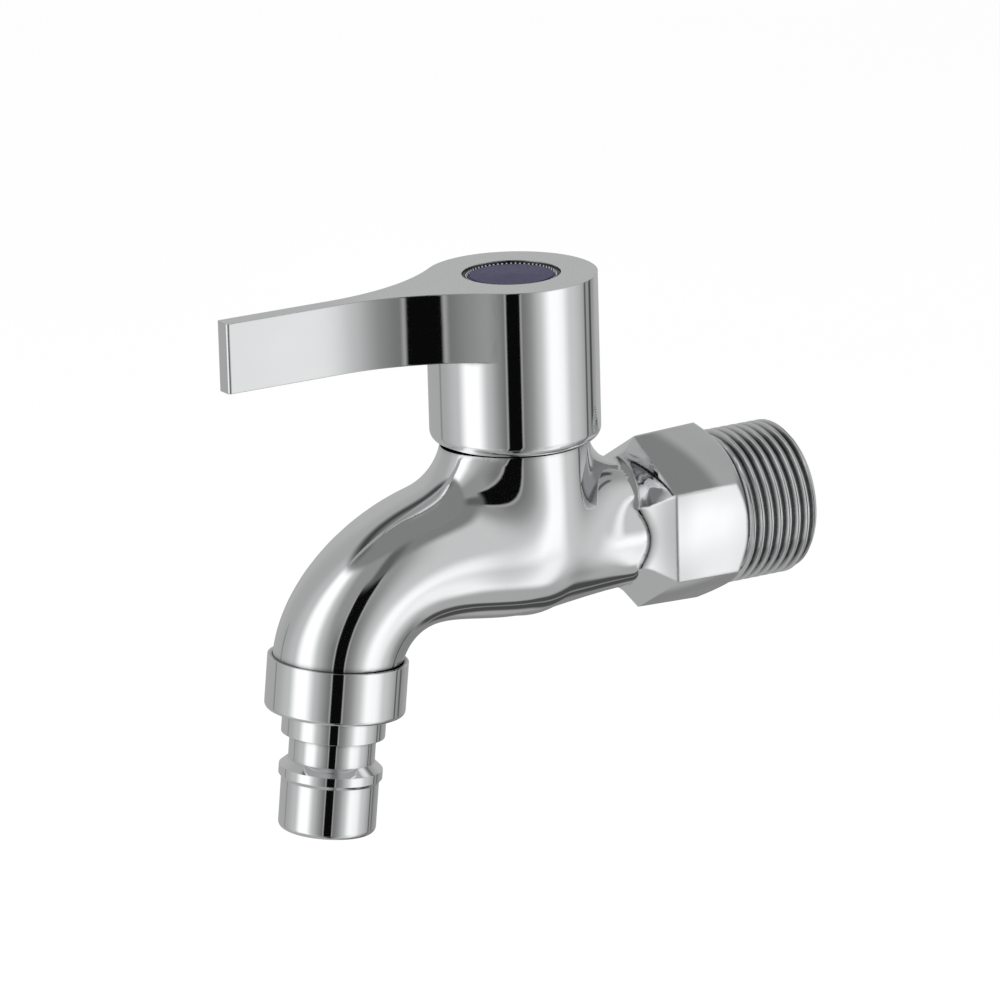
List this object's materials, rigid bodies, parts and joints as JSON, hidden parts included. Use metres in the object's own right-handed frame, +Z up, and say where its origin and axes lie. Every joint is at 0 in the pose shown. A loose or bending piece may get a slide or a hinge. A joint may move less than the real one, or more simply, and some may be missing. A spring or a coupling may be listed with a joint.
{
  "type": "wall-mounted faucet",
  "caption": "Chrome wall-mounted cold-water tap with a quarter-turn lever, a threaded wall tail and a downward spout that ends in a hose nipple.",
  "frame": {"origin": "middle of the wall thread's length, on its axis", "axes": "+Y along the threaded tail into the wall, -Y the way the spout and the closed lever point, +Z up along the valve's axis"},
  "size_m": [0.0288, 0.107, 0.0906],
  "materials": {
    "chrome": "mirror polished",
    "chrome_handle": "mirror polished sides, satin top",
    "brass": "machined",
    "steel": "plain",
    "rubber": "matte",
    "white_plastic": "smooth",
    "white_ceramic": "lapped",
    "indigo_plastic": "smooth"
  },
  "bodies": {
    "tap_body": {"body_casting": "chrome", "cartridge_housing": "brass", "housing_seal": "rubber", "fixed_ceramic_disc": "white_ceramic", "seat_seal": "rubber", "seal_support_ring": "white_plastic", "nozzle_nut": "chrome", "hose_nipple": "chrome", "nozzle_washer": "rubber"},
    "handle": {"handle_lever": "chrome_handle", "index_ring": "white_plastic", "index_disc": "indigo_plastic", "handle_screw": "steel", "screw_washer": "steel", "spindle": "brass", "spindle_o_ring_upper": "rubber", "spindle_o_ring_lower": "rubber", "thrust_washer": "white_plastic", "circlip": "steel", "moving_ceramic_disc": "white_ceramic"}
  },
  "joints": [
    {"name": "handle_turn", "type": "hinge", "parent": "tap_body", "child": "handle", "pos_m": [0, -0.04506, 0], "axis": [0, 0, 1], "range_deg": [0, 90]}
  ]
}
